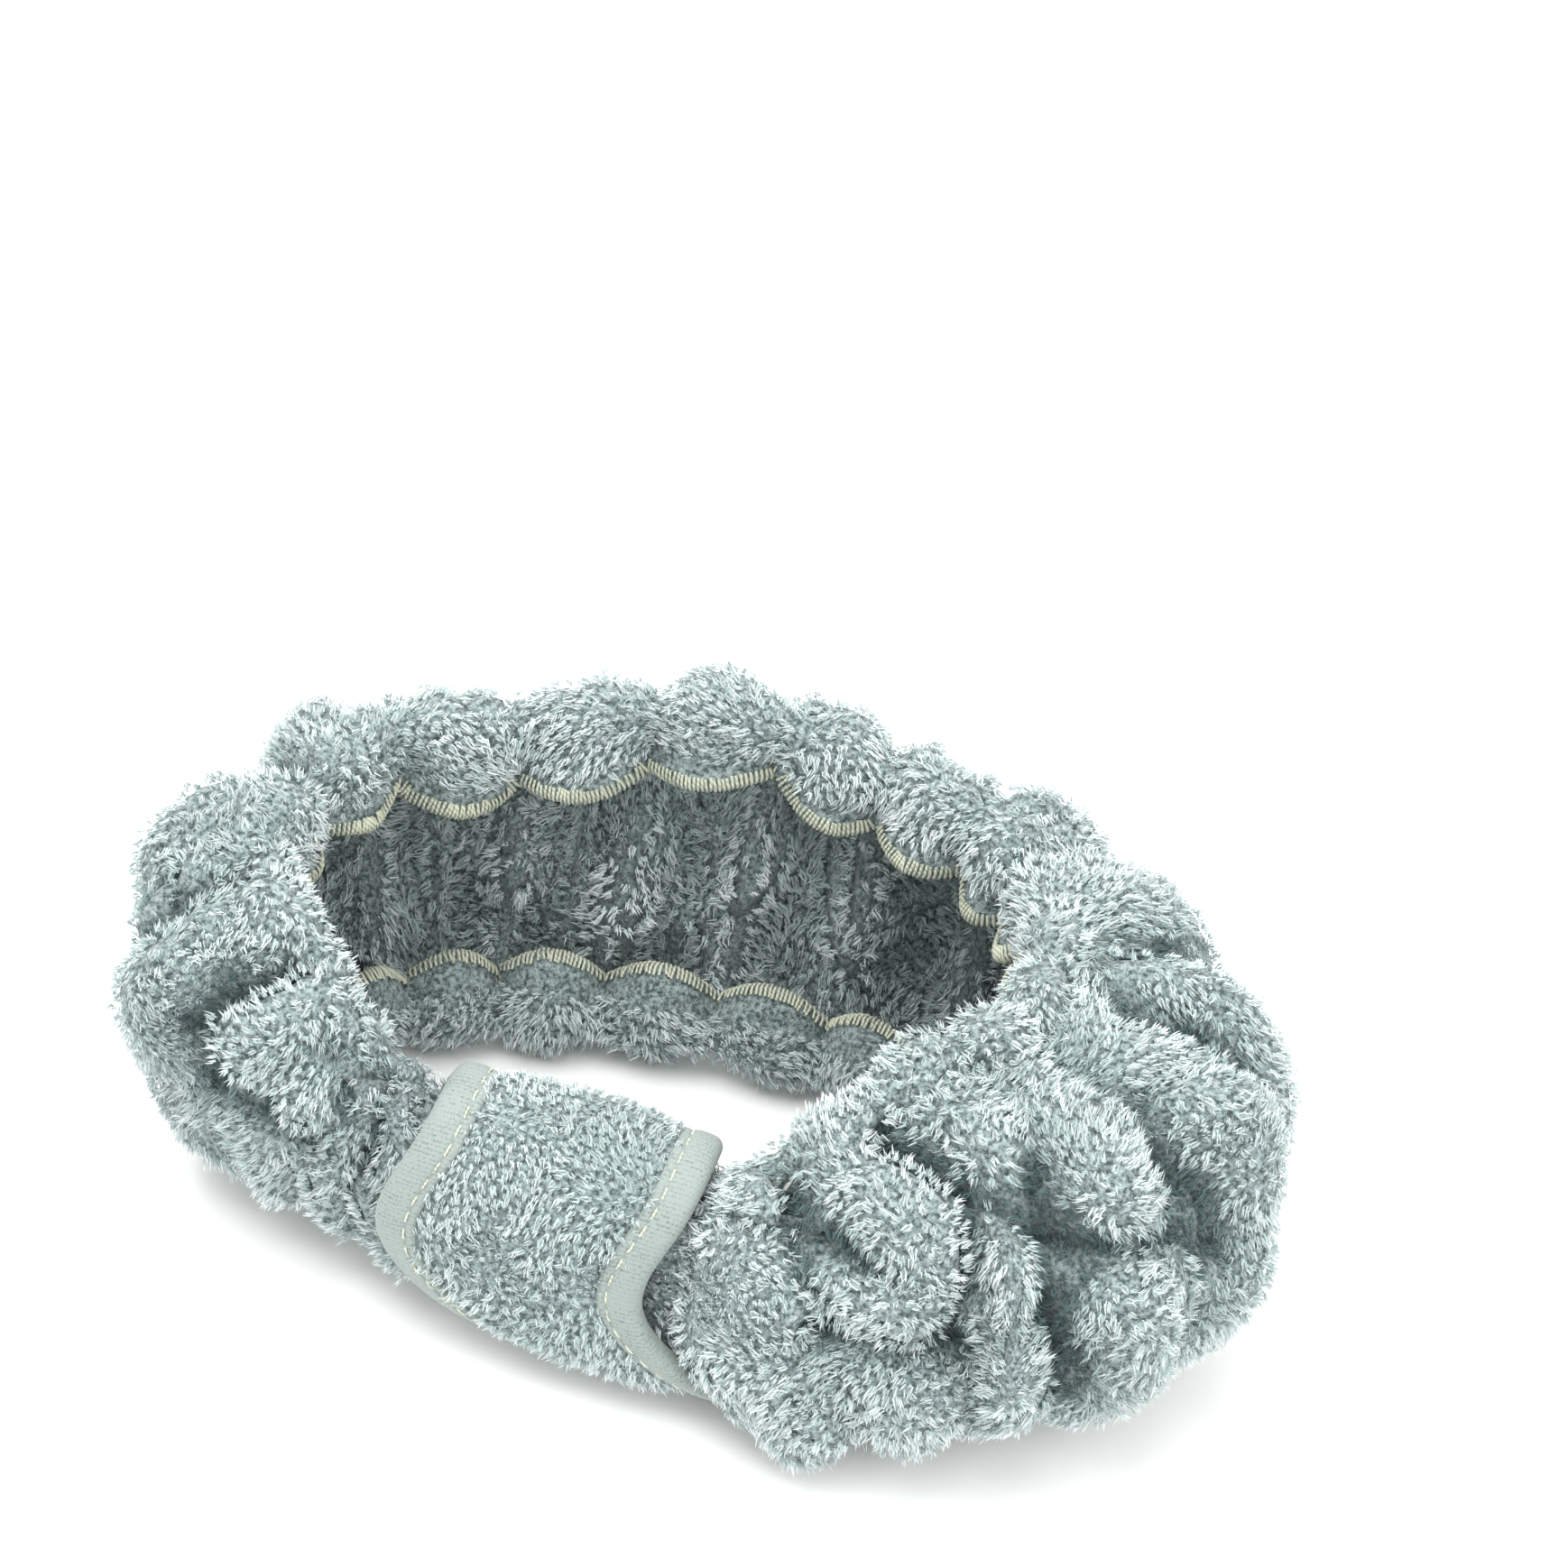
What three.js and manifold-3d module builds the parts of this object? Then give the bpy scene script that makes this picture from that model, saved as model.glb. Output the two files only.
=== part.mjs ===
// Spa headband: a ring of thick, two-tone microfibre fleece with an elastic in each hem, gathered
// at the front by a smooth fleece sleeve whose edges are bound with knitted tape.
// Millimetres, +Z up. The band is relaxed and stands on its lower hem, with the sleeve at the
// front (-Y). The origin is the middle of the underside.
import * as THREE from "three";
import { mergeVertices } from "three/addons/utils/BufferGeometryUtils.js";
import Module from "manifold-3d";

// The two hem lines, seen from above: squared ellipses through the middle of each hem
const upperRing = { halfLength: 79, halfDepth: 50, centreX: -10, centreY: 4.5 };
const lowerRing = { halfLength: 78, halfDepth: 42, centreX: -10, centreY: -4 };
const ringSquareness = 2.3;

// The fleece band away from the sleeve
const bandHeight = 90;
const hemDepth = 18; // across the rolled hem, pile included
const hemHeight = 20; // the hem's own height
const hemRound = 4; // corner of the rolled hem
const wallDepth = 9; // one layer of fleece with the pile on both faces
const bellyRound = 9; // how far the wall stands out past the hems at the back and front
const bellyLeft = 28; // and at the two ends, where the fabric is loose
const bellyRight = 51;
const bellyTurn = THREE.MathUtils.degToRad(20); // the fullest places lie this far round to the front
const bellySpread = 1.5; // above 1 the fullness keeps to the ends
const bellyFullness = 0.6; // below 1 the belly is squarer than an ellipse

// The band where the sleeve gathers it
const gatheredHeight = 38;
const gatheredDepth = 22;
const gatheredHemHeight = 12.5;
const gatheredRound = 9;
const gatheredBase = 10.5; // its underside above the floor
const gatherRun = 52; // along the band, from the sleeve's edge to full height
const gatherStart = 3; // the gathers begin this far outside the sleeve
const gatherEase = 1.6; // above 1 the band flares quickly beside the sleeve
const sleeveLean = 6; // the sleeve's top stands this much further back than its underside

// The sleeve
const sleeveX = -17;
const sleeveTurn = THREE.MathUtils.degToRad(9);
const sleeveTilt = 2; // its top is this far to the left of its middle and its underside to the right
const sleeveBow = 12; // its middle is pulled this far to the left of its top and underside
const straightInset = 2; // the straight stretch lies this far inside the ring's front
const straightMargin = 5; // the hem lines stay straight this far past the sleeve's edges
const straightFade = 32; // and bend back to the ring over this length
const bowSpan = 1.4; // the bow dies out at this share of the gathered band's half height
const sleeveWidth = 56;
const sleeveCloth = 3; // fleece thickness under the binding
const bindingWidth = 8.5;
const bindingCloth = 0.8;
const stitchInset = 1.2; // stitch line from the inner edge of the binding
const stitchThread = 0.5;

// Elastics, overlocked edges and seams
const elasticWidth = 8;
const elasticDepth = 1.2;
const overlockWidth = 4.5;
const overlockDepth = 1.6;
const endSeamDepth = 1.6;

// Where the fleece ring is divided, measured along the band from the middle of the sleeve
const frontLength = 60;
const backLength = 112;

// Clearances
const touchGap = 0.3; // between two pieces that lie against each other
const tunnelGap = 0.4; // round an elastic in its hem

// Fineness of the lofts
const stationStep = 6;
const wallSteps = 8;
const cornerSteps = 4;
const flankSteps = 5;

const fleeceColour = 0xa0afae;
const bindingColour = 0xb0bcb8;
const threadColour = 0xd2d8be;
const elasticColour = 0xf1efe8;

const wasm = await Module();
wasm.setup();

const { lerp, clamp, smoothstep } = THREE.MathUtils;

// A point of a hem line at an angle round the ring: 0 is the right end, 90 degrees the back.
function ringPoint(ring, angle) {
  const power = 2 / ringSquareness;
  const c = Math.cos(angle);
  const s = Math.sin(angle);
  const x = ring.centreX + ring.halfLength * Math.sign(c) * Math.abs(c) ** power;
  const y = ring.centreY + ring.halfDepth * Math.sign(s) * Math.abs(s) ** power;
  const fromSleeve = x - sleeveX;
  const distance = Math.abs(fromSleeve);
  const straightEnd = sleeveWidth / 2 + straightMargin;
  const hold = s < 0 ? 1 - smoothstep(distance, straightEnd, straightEnd + straightFade) : 0;
  const straight = ring.centreY - ring.halfDepth + straightInset - Math.tan(sleeveTurn) * fromSleeve;
  return new THREE.Vector2(x, lerp(y, straight, hold));
}

function middlePoint(angle) {
  return ringPoint(upperRing, angle).lerp(ringPoint(lowerRing, angle), 0.5);
}

// Arc length along the band, from the middle of the sleeve towards the right end and round.
function measureBand() {
  const steps = 1440;
  const halfLength = (upperRing.halfLength + lowerRing.halfLength) / 2;
  const offset = sleeveX - (upperRing.centreX + lowerRing.centreX) / 2;
  const turn = Math.asin((Math.abs(offset) / halfLength) ** (ringSquareness / 2));
  const start = -Math.PI / 2 + Math.sign(offset) * turn;
  const marks = [{ angle: start, along: 0 }];
  let last = middlePoint(start);
  for (let i = 1; i <= steps; i++) {
    const angle = start + (i / steps) * 2 * Math.PI;
    const point = middlePoint(angle);
    marks.push({ angle, along: marks[i - 1].along + point.distanceTo(last) });
    last = point;
  }
  return marks;
}

const bandMarks = measureBand();
const bandLength = bandMarks.at(-1).along;

function angleAt(along) {
  const place = THREE.MathUtils.euclideanModulo(along, bandLength);
  const next = Math.max(1, bandMarks.findIndex((mark) => mark.along >= place));
  const a = bandMarks[next - 1];
  const b = bandMarks[next];
  return lerp(a.angle, b.angle, (place - a.along) / (b.along - a.along));
}

// Everything about the band at one place along it: hem lines, outward direction and section sizes.
function station(along) {
  const angle = angleAt(along);
  const ahead = middlePoint(angleAt(along + 1));
  const behind = middlePoint(angleAt(along - 1));
  const tangent = ahead.sub(behind).normalize();
  const fromSleeve = Math.min(
    THREE.MathUtils.euclideanModulo(along, bandLength),
    THREE.MathUtils.euclideanModulo(-along, bandLength),
  );
  const opened = clamp((fromSleeve - sleeveWidth / 2 - gatherStart) / gatherRun, 0, 1);
  const gather = (1 - opened) ** gatherEase;
  const rightward = Math.cos(angle) > 0;
  const facing = rightward ? Math.cos(angle + bellyTurn) : -Math.cos(angle - bellyTurn);
  const endward = Math.max(0, facing) ** bellySpread;
  const bellyEnd = rightward ? bellyRight : bellyLeft;
  return {
    upper: ringPoint(upperRing, angle),
    lower: ringPoint(lowerRing, angle),
    out: new THREE.Vector2(tangent.y, -tangent.x),
    tangent,
    base: gatheredBase * gather,
    height: lerp(bandHeight, gatheredHeight, gather),
    hemDepth: lerp(hemDepth, gatheredDepth, gather),
    hemHeight: lerp(hemHeight, gatheredHemHeight, gather),
    round: lerp(hemRound, gatheredRound, gather),
    belly: lerp(bellyRound, bellyEnd, endward) * (1 - gather),
    lean: sleeveLean * gather,
    tilt: sleeveTilt * gather,
    bow: sleeveBow * gather,
  };
}

// A point at a distance outside the hem line and a height, on the section at one station.
function bandPoint(at, outside, z) {
  const lowest = at.base + at.hemHeight / 2;
  const highest = at.base + at.height - at.hemHeight / 2;
  const rise = (z - lowest) / (highest - lowest);
  const plan = at.lower.clone().lerp(at.upper, clamp(rise, 0, 1));
  plan.addScaledVector(at.out, outside - at.lean * (rise - 0.5));
  const level = clamp((2 * (z - at.base)) / at.height - 1, -bowSpan, bowSpan);
  const bowed = (1 + Math.cos((Math.PI * level) / bowSpan)) / 2;
  plan.addScaledVector(at.tangent, -at.tilt * level - at.bow * bowed);
  return new THREE.Vector3(plan.x, plan.y, z);
}

// A point of a bulging curve that starts and ends at one distance out, 0 to 1 up its height.
function bulge(low, high, start, most, up) {
  const angle = (up - 0.5) * Math.PI;
  const outside = start + (most - start) * Math.cos(angle) ** bellyFullness;
  return [outside, lerp(low, high, (1 + Math.sin(angle)) / 2)];
}

// The C-shaped section of the fleece as [outside, z] points, from the inner edge of the lower hem
// round the outside and back down the inside.
function fleeceSection(at) {
  const half = at.hemDepth / 2;
  const flat = half - at.round;
  const top = at.base + at.height;
  const wallFoot = at.base + at.hemHeight;
  const wallHead = top - at.hemHeight;
  const points = [
    [-flat, at.base],
    [flat, at.base],
  ];
  for (let i = 0; i <= wallSteps; i++) {
    const most = Math.max(half, at.belly + wallDepth / 2);
    points.push(bulge(at.base + at.round, top - at.round, half, most, i / wallSteps));
  }
  points.push(
    [flat, top],
    [-flat, top],
    [-half, top - at.round],
    [-half, wallHead + hemRound / 2],
  );
  for (let i = wallSteps; i >= 0; i--) {
    const start = -wallDepth / 2;
    points.push(bulge(wallFoot, wallHead, start, at.belly + start, i / wallSteps));
  }
  points.push([-half, wallFoot - hemRound / 2], [-half, at.base + at.round]);
  return points;
}

function rectangle(outside, z, depth, height) {
  return [
    [outside - depth / 2, z - height / 2],
    [outside + depth / 2, z - height / 2],
    [outside + depth / 2, z + height / 2],
    [outside - depth / 2, z + height / 2],
  ];
}

// Skin through rings of points; an open loft gets caps from the flat outlines of its two ends.
function loft(rings, closed, firstOutline, lastOutline) {
  const count = rings[0].length;
  const index = [];
  const spans = closed ? rings.length : rings.length - 1;
  for (let i = 0; i < spans; i++) {
    const here = i * count;
    const next = ((i + 1) % rings.length) * count;
    for (let j = 0; j < count; j++) {
      const k = (j + 1) % count;
      index.push(here + j, next + j, here + k);
      index.push(here + k, next + j, next + k);
    }
  }
  if (!closed) {
    const last = (rings.length - 1) * count;
    for (const [a, b, c] of capFaces(firstOutline)) index.push(a, b, c);
    for (const [a, b, c] of capFaces(lastOutline)) index.push(last + a, last + c, last + b);
  }
  const geometry = new THREE.BufferGeometry().setFromPoints(rings.flat());
  geometry.setIndex(index);
  return geometry;
}

function capFaces(outline) {
  const contour = outline.map(([a, b]) => new THREE.Vector2(a, b));
  return THREE.ShapeUtils.triangulateShape(contour, []);
}

// Places of the stations between two places, one of them at each spot where the gathers begin.
function placesBetween(from, to) {
  const gatherEdge = sleeveWidth / 2 + gatherStart;
  const creases = [gatherEdge, bandLength - gatherEdge].filter((mark) => mark > from && mark < to);
  const ends = [from, ...creases, to];
  const places = [from];
  for (let i = 1; i < ends.length; i++) {
    const steps = Math.ceil((ends[i] - ends[i - 1]) / stationStep);
    for (let k = 1; k <= steps; k++) places.push(lerp(ends[i - 1], ends[i], k / steps));
  }
  return places;
}

// A piece of band section between two places along the band, or the whole ring without them.
function alongBand(outlineAt, from, to) {
  const closed = from === undefined;
  const places = closed ? placesBetween(0, bandLength).slice(0, -1) : placesBetween(from, to);
  const stations = places.map(station);
  const rings = stations.map((at) => outlineAt(at).map(([n, z]) => bandPoint(at, n, z)));
  return loft(rings, closed, outlineAt(stations[0]), outlineAt(stations.at(-1)));
}

function manifoldOf(geometry) {
  const bare = mergeVertices(new THREE.BufferGeometry()
    .setAttribute("position", geometry.getAttribute("position"))
    .setIndex(geometry.getIndex()));
  const mesh = new wasm.Mesh({
    numProp: 3,
    vertProperties: new Float32Array(bare.getAttribute("position").array),
    triVerts: new Uint32Array(bare.getIndex().array),
  });
  return new wasm.Manifold(mesh);
}

function geometryOf(solid) {
  const mesh = solid.getMesh();
  const geometry = new THREE.BufferGeometry();
  geometry.setAttribute("position", new THREE.BufferAttribute(mesh.vertProperties, 3));
  geometry.setIndex(new THREE.BufferAttribute(mesh.triVerts, 1));
  return geometry;
}

// Elastics: flat braided rings that run in the middle of each hem.
function elasticOutline(level, gap) {
  return (at) => {
    const lower = at.base + at.hemHeight / 2;
    const upper = at.base + at.height - at.hemHeight / 2;
    return rectangle(0, level === "upper" ? upper : lower, elasticDepth + 2 * gap, elasticWidth + 2 * gap);
  };
}

function elastic(level) {
  return alongBand(elasticOutline(level, 0));
}

const tunnels = ["upper", "lower"].map((level) => manifoldOf(alongBand(elasticOutline(level, tunnelGap))));

function withTunnels(geometry) {
  const solid = manifoldOf(geometry);
  return geometryOf(solid.subtract(tunnels[0]).subtract(tunnels[1]));
}

function fleece(from, to) {
  return withTunnels(alongBand(fleeceSection, from, to));
}

// Overlocked raw edge of a hem, standing on the inside of the wall beside the hem.
function overlockOutline(level) {
  return (at) => {
    const outside = -wallDepth / 2 - touchGap - overlockDepth / 2;
    const below = at.hemHeight + touchGap + overlockWidth / 2;
    const z = level === "upper" ? at.base + at.height - below : at.base + below;
    return rectangle(outside, z, overlockDepth, overlockWidth);
  };
}

function overlock(level) {
  return alongBand(overlockOutline(level));
}

// Seam that joins the two ends of the band, inside the sleeve.
function bandEndSeam() {
  return withTunnels(alongBand(fleeceSection, -endSeamDepth / 2, endSeamDepth / 2));
}

// Points round the gathered band at a distance off it: a rounded rectangle, in [outside, up].
function sleeveLoop(off) {
  const radius = gatheredRound + off;
  const halfDepth = gatheredDepth / 2 + off - radius;
  const halfHeight = gatheredHeight / 2 + off - radius;
  const front = [];
  for (let i = 0; i <= cornerSteps; i++) {
    const angle = (i / cornerSteps - 1) * (Math.PI / 2);
    front.push([halfDepth + radius * Math.cos(angle), -halfHeight + radius * Math.sin(angle)]);
  }
  for (let i = 1; i < flankSteps; i++) {
    front.push([halfDepth + radius, lerp(-halfHeight, halfHeight, i / flankSteps)]);
  }
  for (let i = 0; i <= cornerSteps; i++) {
    const angle = (i / cornerSteps) * (Math.PI / 2);
    front.push([halfDepth + radius * Math.cos(angle), halfHeight + radius * Math.sin(angle)]);
  }
  const back = front.map(([outside, up]) => [-outside, -up]);
  return [...front, ...back];
}

// A ring round the gathered band; the profile is a list of [distance off the band, place along it].
function aroundSleeve(profile) {
  const middle = gatheredBase + gatheredHeight / 2;
  const columns = profile.map(([off, along]) => {
    const at = station(along);
    return sleeveLoop(off).map(([outside, up]) => bandPoint(at, outside, middle + up));
  });
  const rings = columns[0].map((_, i) => columns.map((column) => column[i]));
  return loft(rings, true);
}

const bindingInner = touchGap;
const panelInner = bindingInner + bindingCloth + touchGap;
const panelOuter = panelInner + sleeveCloth;
const bindingOuter = panelOuter + touchGap + bindingCloth;
const panelEnd = sleeveWidth / 2 - bindingCloth - touchGap;

function sleevePanel() {
  const steps = Math.ceil(sleeveWidth / stationStep) * 2;
  const profile = [];
  for (let i = 0; i <= steps; i++) profile.push([panelInner, lerp(-panelEnd, panelEnd, i / steps)]);
  for (let i = 0; i <= steps; i++) profile.push([panelOuter, lerp(panelEnd, -panelEnd, i / steps)]);
  return aroundSleeve(profile);
}

// Binding tape folded over the sleeve's edge, side -1 on the left and 1 on the right.
function sleeveBinding(side) {
  const end = sleeveWidth / 2;
  const web = end - bindingCloth;
  const lip = end - bindingWidth;
  const profile = [
    [bindingInner, lip],
    [bindingInner, end],
    [bindingOuter, end],
    [bindingOuter, lip],
    [bindingOuter - bindingCloth, lip],
    [bindingOuter - bindingCloth, web],
    [bindingInner + bindingCloth, web],
    [bindingInner + bindingCloth, lip],
  ];
  return mirrored(profile, side);
}

function bindingStitching(side) {
  const inner = sleeveWidth / 2 - bindingWidth + stitchInset;
  const low = bindingOuter + touchGap;
  const profile = [
    [low, inner],
    [low, inner + stitchThread],
    [low + stitchThread, inner + stitchThread],
    [low + stitchThread, inner],
  ];
  return mirrored(profile, side);
}

function mirrored(profile, side) {
  const placed = profile.map(([off, along]) => [off, along * side]);
  return aroundSleeve(side > 0 ? placed : placed.reverse());
}

// Closing seam of the sleeve, on the side that faces the head, between the two bindings.
function sleeveSeam() {
  const end = sleeveWidth / 2 - bindingWidth - touchGap;
  const off = panelOuter + touchGap + overlockDepth / 2;
  const outline = (at) => {
    const middle = at.base + at.height / 2;
    return rectangle(-gatheredDepth / 2 - off, middle, overlockDepth, overlockWidth);
  };
  return alongBand(outline, -end, end);
}

function piece(name, geometry, color, roughness) {
  const plain = geometry.index ? geometry.toNonIndexed() : geometry;
  plain.computeVertexNormals();
  const material = new THREE.MeshStandardMaterial({ color, roughness, metalness: 0 });
  const mesh = new THREE.Mesh(plain, material);
  mesh.name = name;
  return mesh;
}

function buildHeadband() {
  const headband = new THREE.Group();
  const seamEdge = endSeamDepth / 2 + touchGap;
  const backStart = (bandLength - backLength) / 2;
  const backEnd = backStart + backLength;
  const leftStart = bandLength - frontLength;
  headband.add(
    piece("fleece_front_right", fleece(seamEdge, frontLength), fleeceColour, 0.95),
    piece("fleece_side_right", fleece(frontLength + touchGap, backStart - touchGap), fleeceColour, 0.95),
    piece("fleece_back", fleece(backStart, backEnd), fleeceColour, 0.95),
    piece("fleece_side_left", fleece(backEnd + touchGap, leftStart - touchGap), fleeceColour, 0.95),
    piece("fleece_front_left", fleece(leftStart, bandLength - seamEdge), fleeceColour, 0.95),
    piece("band_end_seam", bandEndSeam(), threadColour, 0.9),
    piece("sleeve_panel", sleevePanel(), fleeceColour, 0.95),
    piece("sleeve_seam", sleeveSeam(), threadColour, 0.9),
  );
  for (const level of ["upper", "lower"]) {
    headband.add(
      piece(`${level}_elastic`, elastic(level), elasticColour, 0.8),
      piece(`${level}_overlock`, overlock(level), threadColour, 0.9),
    );
  }
  for (const [side, word] of [[-1, "left"], [1, "right"]]) {
    headband.add(
      piece(`sleeve_binding_${word}`, sleeveBinding(side), bindingColour, 0.85),
      piece(`binding_stitching_${word}`, bindingStitching(side), threadColour, 0.8),
    );
  }
  const box = new THREE.Box3().setFromObject(headband);
  headband.position.set(-(box.min.x + box.max.x) / 2, -(box.min.y + box.max.y) / 2, -box.min.z);
  return headband;
}

export default buildHeadband();
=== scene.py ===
# Plush spa headband with a sewn sleeve at the front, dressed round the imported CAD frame.
import math
from bisect import bisect_left

import bmesh
import bpy
from mathutils import Euler, Matrix, Vector, noise


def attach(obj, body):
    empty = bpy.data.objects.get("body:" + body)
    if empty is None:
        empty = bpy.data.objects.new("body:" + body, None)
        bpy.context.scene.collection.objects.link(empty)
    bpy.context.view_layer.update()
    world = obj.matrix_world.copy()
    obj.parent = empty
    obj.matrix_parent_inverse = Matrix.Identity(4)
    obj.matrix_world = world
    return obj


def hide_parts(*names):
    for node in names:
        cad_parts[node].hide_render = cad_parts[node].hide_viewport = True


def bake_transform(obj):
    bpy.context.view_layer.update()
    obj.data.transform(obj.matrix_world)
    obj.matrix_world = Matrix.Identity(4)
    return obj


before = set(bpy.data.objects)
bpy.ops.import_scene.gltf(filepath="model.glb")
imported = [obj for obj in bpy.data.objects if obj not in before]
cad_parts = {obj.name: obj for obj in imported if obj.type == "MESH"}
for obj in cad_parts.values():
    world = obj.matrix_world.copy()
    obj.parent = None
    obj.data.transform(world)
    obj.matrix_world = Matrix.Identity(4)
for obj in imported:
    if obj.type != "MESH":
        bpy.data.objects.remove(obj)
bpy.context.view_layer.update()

mm = 0.001
joined = 0.02 * mm  # points nearer than this are one


# Small helpers
def mix(a, b, t):
    return a + (b - a) * t


def clamp(x, low=0.0, high=1.0):
    return max(low, min(high, x))


def smooth(x, low, high):
    t = clamp((x - low) / (high - low))
    return t * t * (3 - 2 * t)


def bump(x, centre, width):
    return math.exp(-(((x - centre) / width) ** 2))


def srgb(code):
    channels = [int(code[i : i + 2], 16) / 255 for i in (1, 3, 5)]
    return tuple(c / 12.92 if c <= 0.04045 else ((c + 0.055) / 1.055) ** 2.4 for c in channels) + (1.0,)


def deselectAll():
    if bpy.context.mode != "OBJECT":
        bpy.ops.object.mode_set(mode="OBJECT")
    bpy.ops.object.select_all(action="DESELECT")


def makeActive(piece):
    deselectAll()
    piece.select_set(True)
    bpy.context.view_layer.objects.active = piece


def applyAll(piece):
    makeActive(piece)
    for modifier in list(piece.modifiers):
        bpy.ops.object.modifier_apply(modifier=modifier.name)


def selectFaces(piece, chosen):
    # exactly these faces, for the edit mode step that follows
    mesh = piece.data
    bpy.context.tool_settings.mesh_select_mode = (False, False, True)
    for parts in (mesh.vertices, mesh.edges):
        parts.foreach_set("select", [False] * len(parts))
    mesh.polygons.foreach_set("select", chosen)


def addNode(tree, kind, settings=None, inputs=None):
    # inputs: socket name or number -> a value, or another node's output to link from
    node = tree.nodes.new(kind)
    for name, value in (settings or {}).items():
        setattr(node, name, value)
    for name, value in (inputs or {}).items():
        socket = node.inputs[name]
        if isinstance(value, bpy.types.NodeSocket):
            tree.links.new(value, socket)
        else:
            socket.default_value = value
    return node


# The ring the band is sewn to, all lengths here in mm
ring = {
    "upper": {"halfLength": 79.0, "halfDepth": 50.0, "centreX": -10.8, "centreY": 7.95},
    "lower": {"halfLength": 78.0, "halfDepth": 42.0, "centreX": -10.8, "centreY": -0.55},
    "squareness": 2.3,
    "sleeveX": -17.8,  # middle of the sleeve
    "sleeveTurn": math.radians(9),
    "straightInset": 2.0,
    "straightEnd": 33.0,
    "straightFade": 32.0,
}

band = {
    "height": 90.0,
    "hemDepth": 18.0,
    "hemHeight": 20.0,
    "bellyRound": 9.0,
    "bellyLeft": 28.0,
    "bellyRight": 51.0,
    "bellyTurn": math.radians(20),
    "bellySpread": 1.5,
    "bellyFullness": 0.6,
    "gatheredHeight": 38.0,
    "gatheredDepth": 22.0,
    "gatheredHem": 12.5,
    "gatheredBase": 10.5,
    "gatherStart": 31.0,
    "gatherRun": 52.0,
    "gatherEase": 2.2,
    "baseRun": 26.0,
    "lean": 6.0,
    "tilt": 2.0,
    "bow": 9.5,
    "lowSwing": 8.0,  # the underside of the sleeve is pulled this far to the right
    "bowSpan": 1.4,
    "pile": 3.8,  # height the pile stands on each face
    "cloth": 1.6,
    "tuckUp": 5.0,
    "tuckDown": 8.0,
    "tuckBack": 3.5,
    "rest": 3.2,  # lowest the cloth comes, on its own pile
    "stations": 320,
    "across": 96,
}


def ringPoint(line, angle):
    power = 2 / ring["squareness"]
    c, s = math.cos(angle), math.sin(angle)
    x = line["centreX"] + line["halfLength"] * math.copysign(abs(c) ** power, c)
    y = line["centreY"] + line["halfDepth"] * math.copysign(abs(s) ** power, s)
    away = x - ring["sleeveX"]
    hold = 0.0
    if s < 0:
        hold = 1 - smooth(abs(away), ring["straightEnd"], ring["straightEnd"] + ring["straightFade"])
    front = line["centreY"] - line["halfDepth"] + ring["straightInset"]
    straight = front - math.tan(ring["sleeveTurn"]) * away
    return Vector((x, mix(y, straight, hold)))


def middlePoint(angle):
    return ringPoint(ring["upper"], angle).lerp(ringPoint(ring["lower"], angle), 0.5)


def measureRing():
    # arc length from the middle of the sleeve towards +X and round
    steps = 1440
    halfLength = (ring["upper"]["halfLength"] + ring["lower"]["halfLength"]) / 2
    offset = ring["sleeveX"] - ring["upper"]["centreX"]
    turn = math.asin((abs(offset) / halfLength) ** (ring["squareness"] / 2))
    start = -math.pi / 2 + math.copysign(turn, offset)
    angles, lengths = [start], [0.0]
    last = middlePoint(start)
    for i in range(1, steps + 1):
        angle = start + i / steps * 2 * math.pi
        point = middlePoint(angle)
        angles.append(angle)
        lengths.append(lengths[-1] + (point - last).length)
        last = point
    return angles, lengths


ringAngles, ringLengths = measureRing()
ringLength = ringLengths[-1]


def angleAt(along):
    place = along % ringLength
    k = max(1, bisect_left(ringLengths, place))
    a, b = ringLengths[k - 1], ringLengths[k]
    return mix(ringAngles[k - 1], ringAngles[k], (place - a) / (b - a))


def stationAt(along):
    angle = angleAt(along)
    tangent = (middlePoint(angleAt(along + 1)) - middlePoint(angleAt(along - 1))).normalized()
    place = along % ringLength
    fromSleeve = min(place, ringLength - place)
    opened = clamp((fromSleeve - band["gatherStart"]) / band["gatherRun"])
    gather = (1 - opened) ** band["gatherEase"]
    settled = (1 - clamp((fromSleeve - band["gatherStart"]) / band["baseRun"])) ** 1.6
    right = math.cos(angle) > 0
    facing = math.cos(angle + band["bellyTurn"]) if right else -math.cos(angle - band["bellyTurn"])
    endward = max(0.0, facing) ** band["bellySpread"]
    most = band["bellyRight"] if right else band["bellyLeft"]
    foot = ringBump(place, settle["foot"])
    rim = ringBump(place, settle["rim"])
    return {
        "along": place,
        "upper": ringPoint(ring["upper"], angle),
        "lower": ringPoint(ring["lower"], angle),
        "out": Vector((tangent.y, -tangent.x)),
        "tangent": tangent,
        "gather": gather,
        "base": band["gatheredBase"] * settled + foot,
        "height": mix(band["height"], band["gatheredHeight"], gather) - foot + rim,
        "hemDepth": mix(band["hemDepth"], band["gatheredDepth"], gather),
        "hemHeight": mix(band["hemHeight"], band["gatheredHem"], gather),
        "belly": (mix(band["bellyRound"], most, endward) + ringBump(place, settle["belly"])) * (1 - gather),
        "lowReach": ringBump(place, settle["lowReach"]),
        "highReach": ringBump(place, settle["highReach"]),
        "lean": band["lean"] * gather,
        "tilt": band["tilt"] * gather,
        "bow": band["bow"] * gather,
        "lowSwing": band["lowSwing"] * gather,
    }


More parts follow.
